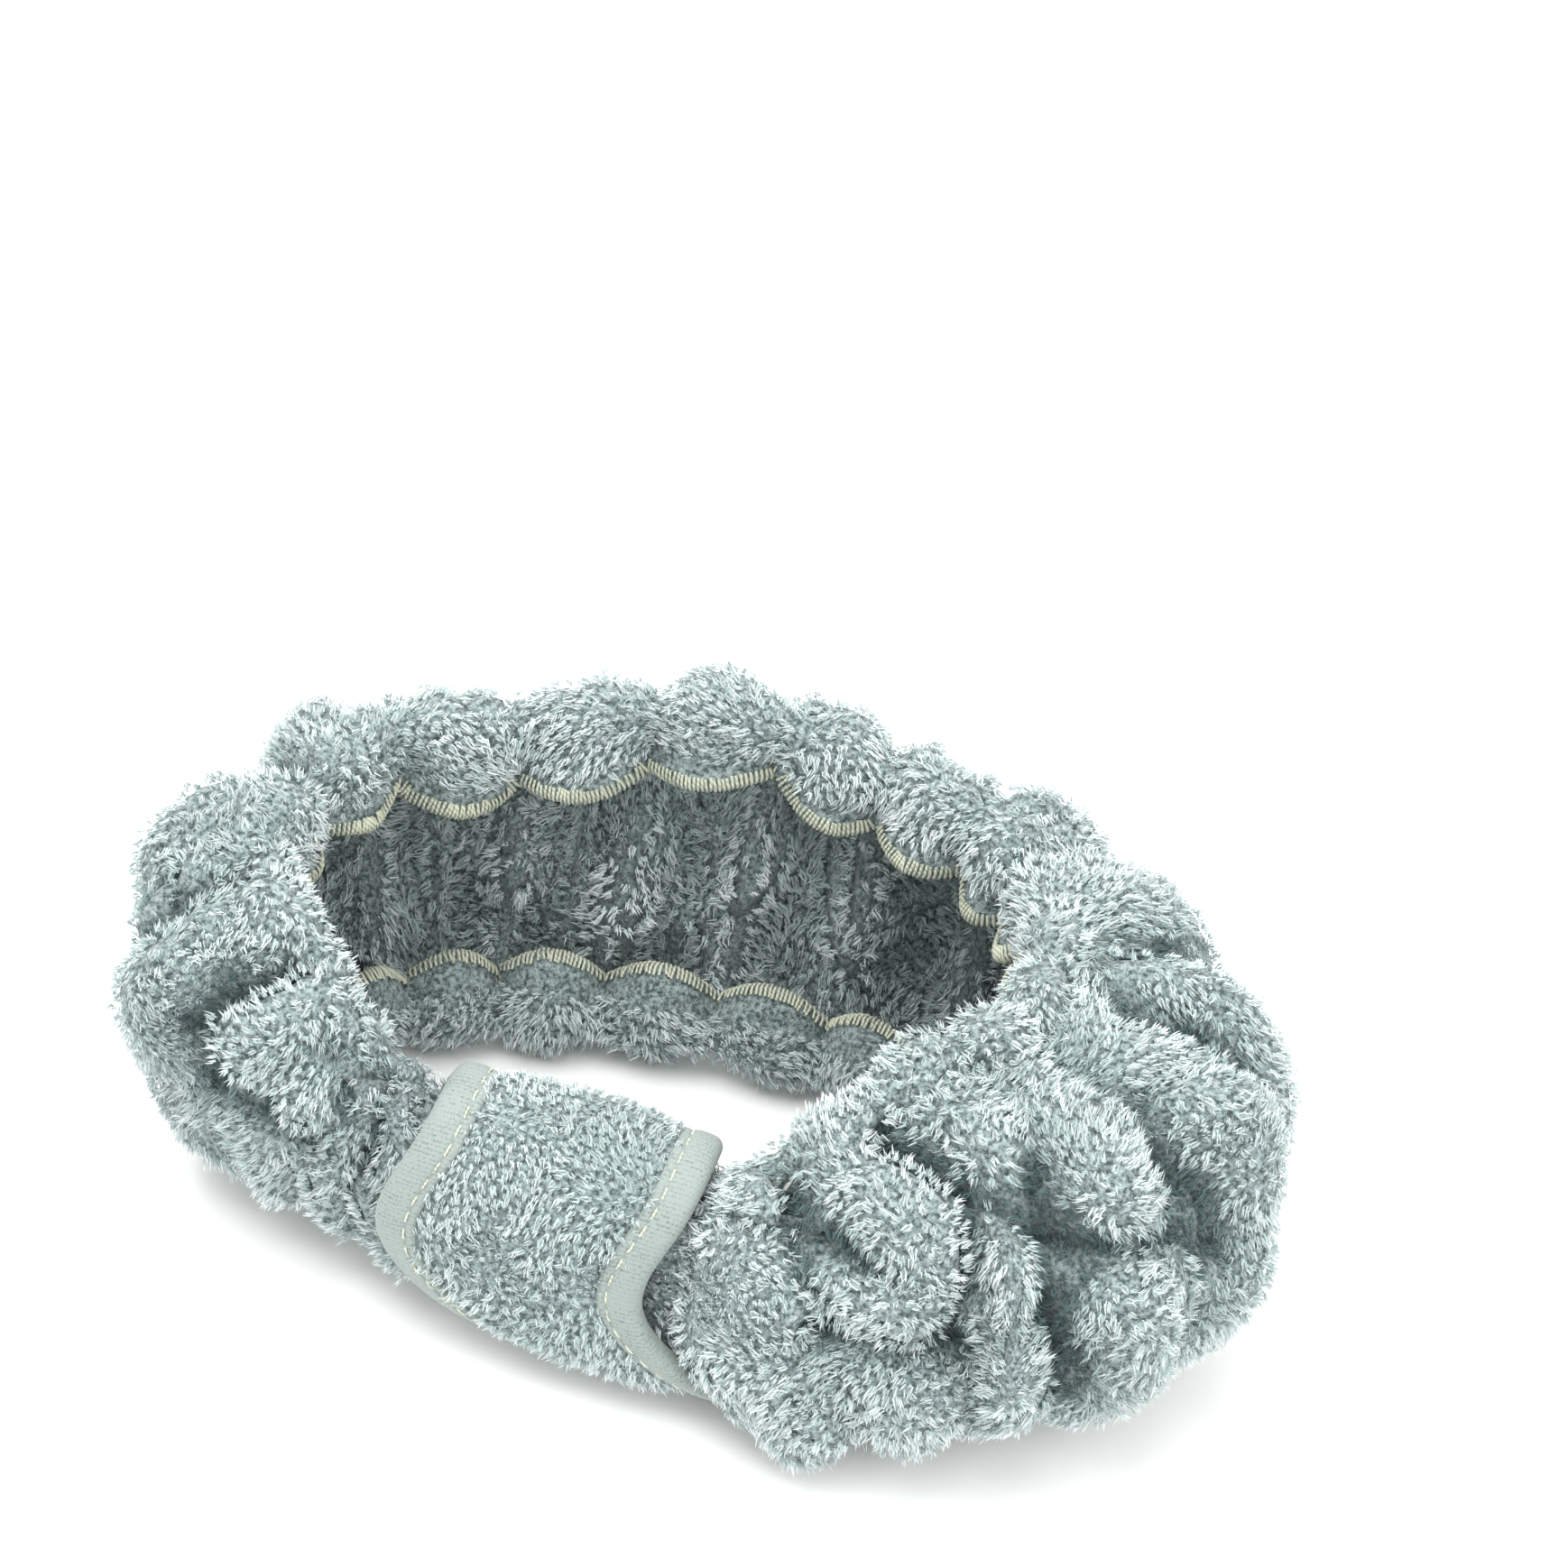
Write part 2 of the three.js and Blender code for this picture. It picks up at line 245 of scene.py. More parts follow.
def bandPoint(at, outside, z):
    lowest = at["base"] + at["hemHeight"] / 2
    highest = at["base"] + at["height"] - at["hemHeight"] / 2
    rise = (z - lowest) / (highest - lowest)
    plan = at["lower"].lerp(at["upper"], clamp(rise))
    reach = at["lowReach"] * (1 - smooth(rise, 0.1, 0.8)) + at["highReach"] * smooth(rise, 0.2, 0.8)
    plan = plan + at["out"] * (outside + reach - at["lean"] * (rise - 0.5))
    level = clamp(2 * (z - at["base"]) / at["height"] - 1, -band["bowSpan"], band["bowSpan"])
    bowed = (1 + math.cos(math.pi * level / band["bowSpan"])) / 2
    swing = at["tilt"] * level - at["lowSwing"] * max(0.0, -level) ** 2
    plan = plan - at["tangent"] * (swing + at["bow"] * bowed)
    return Vector((plan.x, plan.y, z)) * mm


# The fleece across the band: centre line of the cloth as (outside, height)
def clothSection(at):
    top = at["base"] + at["height"]
    base = at["base"]
    hem = at["hemHeight"]
    side = at["hemDepth"] / 2 - band["pile"]
    roll = band["pile"]
    lip = 5.0
    upper = [
        (-8.0, top - hem - lip + 2.0),
        (-5.6, top - hem + 0.5),
        (-side - 0.3, top - hem * 0.62),
        (-side, top - hem * 0.4),
        (-side * 0.62, top - roll - 0.9),
        (0.0, top - roll),
        (side * 0.62, top - roll - 0.8),
    ]
    lower = [(x, base + top - z) for x, z in reversed(upper)]
    lower[-2:] = [(-4.6, base + hem), (-1.5, base + hem + lip - 1.0)]
    outer = []
    low, high = base + hem * 0.36, top - hem * 0.36
    for i in range(17):
        a = (0.5 - i / 16) * math.pi
        reach = side + (max(side, at["belly"]) - side) * max(0.0, math.cos(a)) ** band["bellyFullness"]
        outer.append((reach, mix(low, high, (1 + math.sin(a)) / 2)))
    return upper + outer + lower


def resample(points, count):
    # smooth curve through the points, then even spacing along it
    dense = []
    last = len(points) - 1
    for i in range(last):
        p0, p1, p2, p3 = (points[clamp(k, 0, last)] for k in (i - 1, i, i + 1, i + 2))
        for j in range(6):
            t = j / 6
            dense.append(tuple(
                0.5 * (2 * b + (c - a) * t
                       + (2 * a - 5 * b + 4 * c - d) * t * t
                       + (3 * b - a - 3 * c + d) * t**3)
                for a, b, c, d in zip(p0, p1, p2, p3)
            ))
    dense.append(points[last])
    lengths = [0.0]
    for a, b in zip(dense, dense[1:]):
        lengths.append(lengths[-1] + math.dist(a, b))
    spots = []
    for i in range(count):
        want = i / (count - 1) * lengths[-1]
        k = max(1, bisect_left(lengths, want))
        t = (want - lengths[k - 1]) / max(1e-9, lengths[k] - lengths[k - 1])
        spots.append(tuple(mix(a, b, t) for a, b in zip(dense[k - 1], dense[k])))
    return spots, lengths[-1]


# Where the gathers crease, mm round the ring at the top hem and at the bottom hem.
folds = {
    "tops": [
        31, 44, 60, 76, 92, 108, 122, 137, 153, 175, 199, 226, 254, 283, 307, 326, 348, 359, 370, 379.2,
    ],
    "bottoms": [
        31, 52, 65, 79, 90, 103, 118, 133, 155, 180, 205, 231, 255, 276, 298, 318, 341, 354, 366, 379.2,
    ],
    "depth": 6.0,  # ridge to mean
    "sharp": 0.8,  # below 1 the ridges are fat and the creases narrow
    "waver": 3.0,
    "lumps": 1.8,
    "puffs": 6.5,  # big soft bulges of the back wall
    "wrinkle": 4.5,
    "crease": 1.7,
    "creaseWide": 0.85,
    "across": 140.0,  # mm that a share of 1 stands for, when creases are drawn
}

# Creases drawn one by one: width and depth in mm, then (round in mm, share across) from end to end.
creases = [
    (3.6, 6.5, (43, 0.17), (46, 0.24), (50, 0.32), (53, 0.37)),
    (4.0, 3.5, (33, 0.28), (41, 0.31), (49, 0.34)),
    (4.2, 6.5, (59, 0.19), (66, 0.27), (72, 0.32), (77, 0.38)),
    (3.6, 5.0, (66, 0.28), (64, 0.35), (62, 0.42)),
    (3.4, 4.5, (76, 0.29), (79, 0.36)),
    (3.4, 7.5, (49, 0.475), (56, 0.49), (63, 0.49)),
    (3.8, 5.0, (63, 0.50), (68, 0.56), (69, 0.66)),
    (4.0, 5.5, (90, 0.31), (93, 0.37), (94, 0.46)),
    (4.0, 4.0, (82, 0.38), (89, 0.40)),
    (4.0, 5.0, (75, 0.43), (79, 0.52), (81, 0.62)),
    (4.0, 4.5, (104, 0.20), (107, 0.30), (105, 0.42), (103, 0.58)),
    (4.0, 4.0, (117, 0.20), (120, 0.34), (118, 0.52)),
    (4.0, 4.0, (307, 0.13), (305, 0.22), (301, 0.32)),
    (4.2, 5.0, (350, 0.17), (347, 0.28), (342, 0.39)),
    (6.5, 8.0, (351, 0.41), (356, 0.49)),
    (3.8, 4.0, (332, 0.16), (333, 0.32), (329, 0.46)),
    (3.8, 4.0, (362, 0.22), (366, 0.36), (363, 0.48)),
    (3.6, 4.0, (373, 0.20), (374, 0.50)),
]

# Single lumps: round (mm), share across, their widths, and the push outwards (mm).
lumps = [
    (46, 0.64, 12, 0.10, 5.0),
    (43, 0.42, 7, 0.06, 4.0),
    (56, 0.36, 6, 0.09, 3.5),
    (60, 0.55, 8, 0.04, 3.5),
    (83, 0.31, 7, 0.05, 4.0),
    (86, 0.44, 7, 0.05, 3.0),
    (98, 0.36, 6, 0.10, 2.5),
    (347, 0.35, 12, 0.05, 3.5),
    (359, 0.44, 5, 0.07, 3.0),
]

# How the plan and the rims depart from the plain ring: round (mm), width, amount (mm).
settle = {
    "belly": [(305, 16, -7.0), (356, 12, -5.0), (129, 13, -4.0), (104, 12, 4.0)],
    "lowReach": [(352, 20, -8.0), (335, 16, -4.0), (46, 12, 6.0)],
    "highReach": [(330, 22, 5.0)],
    "rim": [(206, 20, 7.5), (264, 22, -5.0), (285, 10, 2.0), (312, 12, 1.0), (136, 12, -3.0), (90, 22, -2.0)],
    "foot": [(352, 20, 5.0)],
}


def ringBump(along, bumps):
    total = 0.0
    for centre, width, amount in bumps:
        away = abs(along - centre)
        total += amount * bump(min(away, ringLength - away), 0, width)
    return total


def foldPlace(along, share):
    # which fold a point is in, and how far through it
    last = None
    for k, (top, bottom) in enumerate(zip(folds["tops"], folds["bottoms"])):
        crease = mix(top, bottom, smooth(share, 0.1, 0.9))
        if along < crease and last is not None:
            return k - 1, (along - last) / (crease - last), crease - last
        last = crease
    return len(folds["tops"]), 0.0, 18.0


def creaseDepth(along, share):
    total = 0.0
    y = share * folds["across"]
    for width, depth, *line in creases:
        if not min(p[0] for p in line) - 12 < along < max(p[0] for p in line) + 12:
            continue
        nearest = 1e9
        for (x0, s0), (x1, s1) in zip(line, line[1:]):
            y0, y1 = s0 * folds["across"], s1 * folds["across"]
            dx, dy = x1 - x0, y1 - y0
            t = clamp(((along - x0) * dx + (y - y0) * dy) / (dx * dx + dy * dy))
            nearest = min(nearest, math.hypot(along - x0 - t * dx, y - y0 - t * dy))
        total += folds["crease"] * depth * math.exp(-((nearest / (width * folds["creaseWide"])) ** 1.8))
    return total


def foldDepth(at, share):
    along = at["along"]
    drift = folds["waver"] * noise.noise(Vector((along * 0.045, share * 5, 3.1)))
    number, through, width = foldPlace(along + drift, share)
    wave = (math.sin(math.pi * clamp(through)) ** 2 + 0.012) ** (folds["sharp"] / 2) * 2 - 1.15
    hems = 0.34 + 0.66 * smooth(share, 0.14, 0.32) * (1 - smooth(share, 0.68, 0.86))
    hems += 0.12 * (1 - smooth(share, 0.0, 0.1))
    size = folds["depth"] * hems * clamp(width / 20, 0.6, 1.15) * (1 - 0.6 * smooth(at["gather"], 0.75, 1.0))
    size *= 0.8 + 0.5 * noise.noise(Vector((number * 1.7, share * 3, 8.4)))
    push = wave * size
    push += folds["lumps"] * noise.noise(Vector((along * 0.11, share * 11, 5.5)))
    back = smooth(along, 135, 160) * (1 - smooth(along, 285, 310))
    back *= smooth(share, 0.2, 0.35) * (1 - smooth(share, 0.65, 0.8))
    push += folds["puffs"] * back * noise.noise(Vector((along * 0.05, share * 5.5, 21.3)))
    for centre, level, width, tall, amount in lumps:
        push += amount * bump(along, centre, width) * bump(share, level, tall)
    wander = noise.noise(Vector((along * 0.075, share * 4.2, 12.7)))
    belly = smooth(share, 0.08, 0.22) * (1 - smooth(share, 0.8, 0.92))
    push -= folds["wrinkle"] * clamp(1 - abs(wander) / 0.16) * belly
    push -= creaseDepth(along + 0.6 * drift, share)
    # the elastic casings are stitched down along both hems
    push -= 1.8 * (bump(share, 0.27, 0.02) + bump(share, 0.74, 0.02)) * (1 - at["gather"])
    return push * (1 - smooth(at["gather"], 0.9, 1.0))


def clothPoint(at, spots, index):
    x, z = spots[index]
    ahead = spots[min(index + 1, len(spots) - 1)]
    behind = spots[max(index - 1, 0)]
    dx, dz = ahead[0] - behind[0], ahead[1] - behind[1]
    size = math.hypot(dx, dz)
    normal = (-dz / size, dx / size)
    share = index / (len(spots) - 1)
    push = foldDepth(at, share)
    edge = (1 - smooth(min(share, 1 - share), 0.0, 0.11)) * (1 - at["gather"])
    if edge > 0:  # the raw edge is drawn up behind its hem at every crease, and hangs in arcs between
        through = foldPlace(at["along"], share)[1]
        tuck = edge * (1 - abs(math.sin(math.pi * clamp(through))) ** 0.8)
        x += band["tuckBack"] * tuck
        z += (band["tuckUp"] if share < 0.5 else -band["tuckDown"]) * tuck
    place = bandPoint(at, x + normal[0] * push, z + normal[1] * push)
    place.z = max(place.z, band["rest"] * mm + 0.25 * (place.z - band["rest"] * mm))  # lies on the table
    return place


def makeFleece():
    stations, across = band["stations"], band["across"]
    deselectAll()
    bpy.ops.mesh.primitive_grid_add(x_subdivisions=across - 1, y_subdivisions=stations - 1, size=1.0)
    piece = bpy.context.active_object
    piece.name = "bandFleece"
    mesh = piece.data
    # the grid's own corners tell each point its place round and across the band
    around, acrossShare, rows = [], [], []
    for i in range(stations):
        at = stationAt(i / (stations - 1) * ringLength)
        rows.append((at, *resample(clothSection(at), across)))
    for vertex in mesh.vertices:
        i = round((vertex.co.y + 0.5) * (stations - 1))
        j = round((vertex.co.x + 0.5) * (across - 1))
        at, spots, _ = rows[i]
        around.append(i / (stations - 1))
        acrossShare.append(j / (across - 1))
        vertex.co = clothPoint(at, spots, j)
    covered = [min(a, 1 - a) * ringLength for a in around]
    pushes = [foldDepth(rows[round(a * (stations - 1))][0], b) for a, b in zip(around, acrossShare)]
    attributes = {
        "around": around,
        "across": acrossShare,
        # bare where the sleeve hides it, and thin under the overlocked edges
        "keep": [
            smooth(c, 24, 29) * smooth(min(b, 1 - b), 0.046, 0.054) * mix(0.9, 1.0, smooth(push, -8, -3))
            for c, b, push in zip(covered, acrossShare, pushes)
        ],
        "tall": [
            mix(0.6, 1.0, smooth(min(b, 1 - b), 0.03, 0.06)) * mix(0.7, 1.0, smooth(push, -11, -3))
            for b, push in zip(acrossShare, pushes)
        ],
        # painted shade: the pile and the ground are painted darker in the creases and lighter on the crests
        "ridge": [clamp((push + 2) / 8, -0.9, 0.25) for push in pushes],  # crease to crest, for the tone
    }
    for name, values in attributes.items():
        mesh.attributes.new(name, "FLOAT", "POINT").data.foreach_set("value", values)
    print("fleece: rows", stations, "mean cut width", sum(row[2] for row in rows) / stations)
    return piece


fleeceSheet = makeFleece()


# Pile: one lock of fibres, modelled a few times and scattered over the cloth
lock = {
    "kinds": 8,
    "fibres": 8,
    "length": 4.0,
    "width": 0.46,
    "belly": 0.62,  # how far up a fibre is widest
    "lean": 1.5,
    "spread": 0.85,
    "open": 0.8,
    "gathered": 0.3,  # the tips of a lock draw together
}


def makeLocks():
    group = bpy.data.collections.new("locks")
    for kind in range(lock["kinds"]):
        deselectAll()
        bpy.ops.mesh.primitive_plane_add(size=0.001)
        piece = bpy.context.active_object
        piece.name = f"lock{kind}"
        bpy.ops.object.mode_set(mode="EDIT")
        bpy.ops.mesh.select_mode(type="VERT")
        bpy.ops.mesh.delete(type="VERT")
        for fibre in range(lock["fibres"]):
            side = noise.noise(Vector((kind * 3.3, fibre * 2.9, 0.4)))
            push = noise.noise(Vector((kind * 1.7, fibre * 4.1, 7.2)))
            tall = noise.noise(Vector((kind * 5.9, fibre * 1.3, 2.6)))
            angle = fibre / lock["fibres"] * 2 * math.pi + kind
            foot = Vector((math.cos(angle), math.sin(angle), 0)) * lock["spread"] * (0.7 + 0.6 * push)
            length = lock["length"] * (0.82 + 0.5 * tall)
            lean = lock["lean"] * (0.8 + 1.2 * push)
            fan = lock["open"] * side * 2
            middle = foot * 0.75 + Vector((lean * 0.3, fan * 0.3, length * lock["belly"]))
            tip = foot * lock["gathered"] + Vector((lean, fan, length))
            bpy.ops.mesh.primitive_circle_add(
                vertices=3, radius=lock["width"] / 2 * mm, fill_type="NGON",
                location=middle * mm, rotation=(0, 0, angle),
            )
            bpy.ops.mesh.extrude_region_move(TRANSFORM_OT_translate={"value": (tip - middle) * mm})
            bpy.ops.mesh.merge(type="CENTER")
            # and down to the root from the ring left open
            bpy.ops.mesh.select_all(action="DESELECT")
            bpy.ops.mesh.select_non_manifold()
            bpy.ops.mesh.extrude_edges_move(TRANSFORM_OT_translate={"value": (foot - middle) * mm})
            bpy.ops.mesh.merge(type="CENTER")
        bpy.ops.mesh.select_all(action="SELECT")
        bpy.ops.mesh.normals_make_consistent(inside=False)
        bpy.ops.object.mode_set(mode="OBJECT")
        top = lock["length"] * mm * 0.94
        heights = [clamp(v.co.z / top) for v in piece.data.vertices]
        piece.data.attributes.new("rise", "FLOAT", "POINT").data.foreach_set("value", heights)
        bpy.context.scene.collection.objects.unlink(piece)
        group.objects.link(piece)
    return group


def pileTree(locks, paint):
    tree = bpy.data.node_groups.new("pile", "GeometryNodeTree")
    face = tree.interface
    face.new_socket("Geometry", in_out="INPUT", socket_type="NodeSocketGeometry")
    for name in ("Density", "Gap", "Size", "Seed"):
        kind = "NodeSocketInt" if name == "Seed" else "NodeSocketFloat"
        face.new_socket(name, in_out="INPUT", socket_type=kind)
    face.new_socket("Geometry", in_out="OUTPUT", socket_type="NodeSocketGeometry")

    def add(kind, settings=None, inputs=None):
        return addNode(tree, kind, settings, inputs)

    given = add("NodeGroupInput").outputs
    keep = add("GeometryNodeInputNamedAttribute", {"data_type": "FLOAT"}, {"Name": "keep"}).outputs[0]
    tall = add("GeometryNodeInputNamedAttribute", {"data_type": "FLOAT"}, {"Name": "tall"}).outputs[0]
    spots = add("GeometryNodeDistributePointsOnFaces", {"distribute_method": "POISSON"}, {
        "Mesh": given["Geometry"], "Distance Min": given["Gap"], "Density Max": given["Density"],
        "Density Factor": keep, "Seed": given["Seed"],
    })
    place = add("GeometryNodeInputPosition").outputs[0]
    # the pile lies in patches a couple of centimetres across, each combed its own way
    swirl = add("ShaderNodeTexNoise", None, {
        "Vector": place, "Scale": 42.0, "Detail": 1.5, "Roughness": 0.6,
    }).outputs["Color"]
    combed = add("ShaderNodeVectorMath", {"operation": "SUBTRACT"}, {0: swirl, 1: (0.5, 0.5, 0.5)}).outputs[0]
    downhill = add("ShaderNodeVectorMath", {"operation": "ADD"}, {0: combed, 1: (0.0, 0.0, -0.05)}).outputs[0]
    ruffle = add("FunctionNodeRandomValue", {"data_type": "FLOAT_VECTOR"}, {
        0: (-0.08, -0.08, -0.08), 1: (0.08, 0.08, 0.08), "Seed": given["Seed"],
    }).outputs[0]
    comb = add("ShaderNodeVectorMath", {"operation": "ADD"}, {0: downhill, 1: ruffle}).outputs[0]
    lean = add("ShaderNodeVectorMath", {"operation": "SCALE"}, {0: comb, "Scale": 1.9}).outputs[0]
    up = add("ShaderNodeVectorMath", {"operation": "ADD"}, {0: spots.outputs["Normal"], 1: lean}).outputs[0]
    turn = add("FunctionNodeAxesToRotation", {"primary_axis": "Z", "secondary_axis": "X"}, {
        0: up, 1: comb,
    }).outputs[0]
    jitter = add("FunctionNodeRandomValue", {"data_type": "FLOAT"}, {
        2: 0.72, 3: 1.15, "Seed": given["Seed"],
    }).outputs[1]
    height = add("ShaderNodeMath", {"operation": "MULTIPLY"}, {0: jitter, 1: tall}).outputs[0]
    size = add("ShaderNodeMath", {"operation": "MULTIPLY"}, {0: height, 1: given["Size"]}).outputs[0]
    kinds = add("GeometryNodeCollectionInfo", None, {
        "Collection": locks, "Separate Children": True, "Reset Children": True,
    })
    grown = add("GeometryNodeInstanceOnPoints", None, {
        "Points": spots.outputs["Points"], "Instance": kinds.outputs[0], "Pick Instance": True,
        "Rotation": turn, "Scale": size,
    })
    # tone and painted shade: soft patches of the two dye shades, every lock a little different, and painted
    # shade, darker in the creases and lighter on the crests
    cloud = add("ShaderNodeTexNoise", None, {"Vector": place, "Scale": 60.0, "Detail": 2.0}).outputs[0]
    fleck = add("FunctionNodeRandomValue", {"data_type": "FLOAT"}, {2: -0.14, 3: 0.14, "Seed": 11}).outputs[1]
    ridge = add("GeometryNodeInputNamedAttribute", {"data_type": "FLOAT"}, {"Name": "ridge"}).outputs[0]
    shaded = add("ShaderNodeMath", {"operation": "MULTIPLY_ADD"}, {0: ridge, 1: 1.3, 2: cloud}).outputs[0]
    tone = add("ShaderNodeMath", {"operation": "ADD", "use_clamp": True}, {0: shaded, 1: fleck}).outputs[0]
    toned = add("GeometryNodeStoreNamedAttribute", {"data_type": "FLOAT", "domain": "INSTANCE"}, {
        "Geometry": grown.outputs[0], "Name": "tone", "Value": tone,
    })
    solid = add("GeometryNodeRealizeInstances", None, {0: toned.outputs[0]})
    shade = add("GeometryNodeInputNamedAttribute", {"data_type": "FLOAT"}, {"Name": "tone"}).outputs[0]
    rise = add("GeometryNodeInputNamedAttribute", {"data_type": "FLOAT"}, {"Name": "rise"}).outputs[0]
    palette = add("ShaderNodeCombineXYZ", None, {"X": shade, "Y": rise}).outputs[0]
    mapped = add("GeometryNodeStoreNamedAttribute", {"data_type": "FLOAT2", "domain": "CORNER"}, {
        "Geometry": solid.outputs[0], "Name": "OFBake", "Value": palette,
    })
    painted = add("GeometryNodeSetMaterial", None, {"Geometry": mapped.outputs[0], "Material": paint})
    end = add("NodeGroupOutput")
    tree.links.new(painted.outputs[0], end.inputs[0])
    return tree


def pilePaint():
    # two-tone plush microfibre: roots darker in their own colour and in painted shade, no gloss; the tips
    # stay at the ramp's own white, so there a fibre shows only its tone and its painted fold shade
    paint = bpy.data.materials.new("plushMicrofibrePile")
    paint.use_nodes = True
    tree = paint.node_tree
    look = tree.nodes["Principled BSDF"]
    look.inputs["Roughness"].default_value = 0.72
    look.inputs["Sheen Weight"].default_value = 0.15
    look.inputs["Sheen Roughness"].default_value = 0.5
    look.inputs["Specular IOR Level"].default_value = 0.25
    mapNode = addNode(tree, "ShaderNodeUVMap", {"uv_map": "OFBake"})
    parts = addNode(tree, "ShaderNodeSeparateXYZ", None, {0: mapNode.outputs[0]})
    ramp = addNode(tree, "ShaderNodeValToRGB", None, {0: parts.outputs["Y"]})
    stops = [(0.0, "#42585A"), (0.25, "#849A9A"), (0.5, "#B9C7C6"), (0.75, "#C5D0CF")]
    for k, (spot, code) in enumerate(stops):
        stop = ramp.color_ramp.elements[k] if k < 1 else ramp.color_ramp.elements.new(spot)
        stop.position, stop.color = spot, srgb(code)
    # the map's X is the lock's tone with its painted fold shade
    toneAndShadeRamp = addNode(tree, "ShaderNodeValToRGB", None, {0: parts.outputs["X"]})
    toneAndShadeRamp.color_ramp.elements[0].color = srgb("#5C7475")
    middle = toneAndShadeRamp.color_ramp.elements.new(0.4)
    middle.color = srgb("#E3ECEB")
    toneAndShadeRamp.color_ramp.elements[-1].color = srgb("#FFFFFF")
    tinted = addNode(tree, "ShaderNodeMix", {"data_type": "RGBA", "blend_type": "MULTIPLY"}, {
        0: 0.95, 6: ramp.outputs[0], 7: toneAndShadeRamp.outputs[0],
    })
    tree.links.new(tinted.outputs[2], look.inputs["Base Color"])
    return paint


tableGap = 0.3 * mm  # lowest a fibre comes
pileSets = {
    "outerPile": {"flip": False, "across": (0.0, 1.0), "pieces": 9, "perMm": 1.3, "gap": 1.2, "size": 1.0},
    "sleevePile": {"flip": False, "across": (0.0, 1.0), "pieces": 1, "perMm": 1.1, "gap": 1.2, "size": 1.0},
    "pocketPile": {
        "flip": True, "across": (0.27, 0.76), "pieces": 3, "perMm": 1.0, "gap": 1.6, "size": 1.12,
        # painted shade value added to the pocket's pile
        "paler": 0.15,
    },
}


def evenSectors(cloth, count):
    # places round the ring that share the cloth's area out evenly
    around = cloth.data.attributes["around"].data
    areas = sorted((around[face.vertices[0]].value, face.area) for face in cloth.data.polygons)
    total = sum(area for _, area in areas)
    marks, covered = [-1.0], 0.0
    for place, area in areas:
        covered += area
        if covered > total * len(marks) / count and len(marks) < count:
            marks.append(place)
    return marks + [2.0]


def growPile(cloth, name, plan, tree, seed):
    pieces = []
    marks = evenSectors(cloth, plan["pieces"])
    for k in range(plan["pieces"]):
        low, high = marks[k], marks[k + 1]
        makeActive(cloth)
        bpy.ops.object.duplicate()
        piece = bpy.context.active_object
        piece.name = f"{name}{k + 1}"
        mesh = piece.data
        around = mesh.attributes["around"].data
        across = mesh.attributes["across"].data
        spare = []
        for face in mesh.polygons:
            a = around[face.vertices[0]].value
            b = sum(across[v].value for v in face.vertices) / len(face.vertices)
            spare.append(not (low <= a < high and plan["across"][0] <= b <= plan["across"][1]))
        selectFaces(piece, spare)
        bpy.ops.object.mode_set(mode="EDIT")
        bpy.ops.mesh.delete(type="FACE")
        if plan["flip"]:
            bpy.ops.mesh.select_all(action="SELECT")
            bpy.ops.mesh.flip_normals()
        bpy.ops.object.mode_set(mode="OBJECT")
        if plan["flip"]:  # a ridge outside is a hollow inside
            # painted shade turned over inside the pocket: darker behind the outside's crests, and a little
            # paler all over
            for spot in piece.data.attributes["ridge"].data:
                spot.value = plan["paler"] - spot.value * 0.6
            for part in ("tall", "keep"):
                for spot in piece.data.attributes[part].data:
                    spot.value = 1.0 if spot.value > 0.3 else spot.value
        modifier = piece.modifiers.new("pile", "NODES")
        modifier.node_group = tree
        settings = {
            "Density": plan["perMm"] / mm**2, "Gap": plan["gap"] * mm, "Size": plan["size"], "Seed": seed + k,
        }
        for item in tree.interface.items_tree:
            if item.in_out == "INPUT" and item.name in settings:
                modifier[item.identifier] = settings[item.name]
        applyAll(piece)
        for vertex in piece.data.vertices:  # pressed flat on the table
            vertex.co.z = max(vertex.co.z, tableGap)
        pieces.append(piece)
    print(name, "triangles", [sum(len(f.vertices) - 2 for f in p.data.polygons) for p in pieces])
    return pieces


# Threads: one is modelled, then copied along a line of places
def frameAt(place, ahead, up):
    # matrix at a place, x pointing ahead, z up as near as can be
    x = ahead.normalized()
    y = up.cross(x).normalized()
    z = x.cross(y)
    return Matrix.LocRotScale(place, Matrix((x, y, z)).transposed(), None)


def repeatAlong(model, frames, name):
    shape = bmesh.new()
    for spot in frames:
        first = len(shape.verts)
        shape.from_mesh(model.data)
        shape.verts.ensure_lookup_table()
        bmesh.ops.transform(shape, matrix=spot, verts=shape.verts[first:])
    mesh = bpy.data.meshes.new(name)
    shape.to_mesh(mesh)
    shape.free()
    piece = bpy.data.objects.new(name, mesh)
    bpy.context.scene.collection.objects.link(piece)
    mesh.polygons.foreach_set("use_smooth", [True] * len(mesh.polygons))
    return piece


def threadModel(name, points, thick, sides=0):
    # a thread drawn through a few points, made a mesh tube
    deselectAll()
    bpy.ops.curve.primitive_nurbs_path_add()
    line = bpy.context.active_object
    line.name = name
    spline = line.data.splines[0]
    while len(spline.points) < len(points):
        spline.points.add(1)
    for point, spot in zip(spline.points, points):
        point.co = (*(Vector(spot) * mm), 1.0)
    spline.use_endpoint_u = True
    spline.order_u = 4
    spline.resolution_u = 2
    line.data.bevel_depth = thick / 2 * mm
    line.data.bevel_resolution = sides
    line.data.use_fill_caps = True
    bpy.ops.object.convert(target="MESH")
    return bpy.context.active_object


stitch = {
    "lineLength": 115.0,  # once round the sleeve
    "length": 2.5,
    "gap": 0.7,
    "thick": 0.5,
    "inset": 2.0,
    "overlockPitch": 1.15,
    "overlockThick": 0.72,
    "overlockWide": 5.6,
    "overlockStray": 0.16,
}


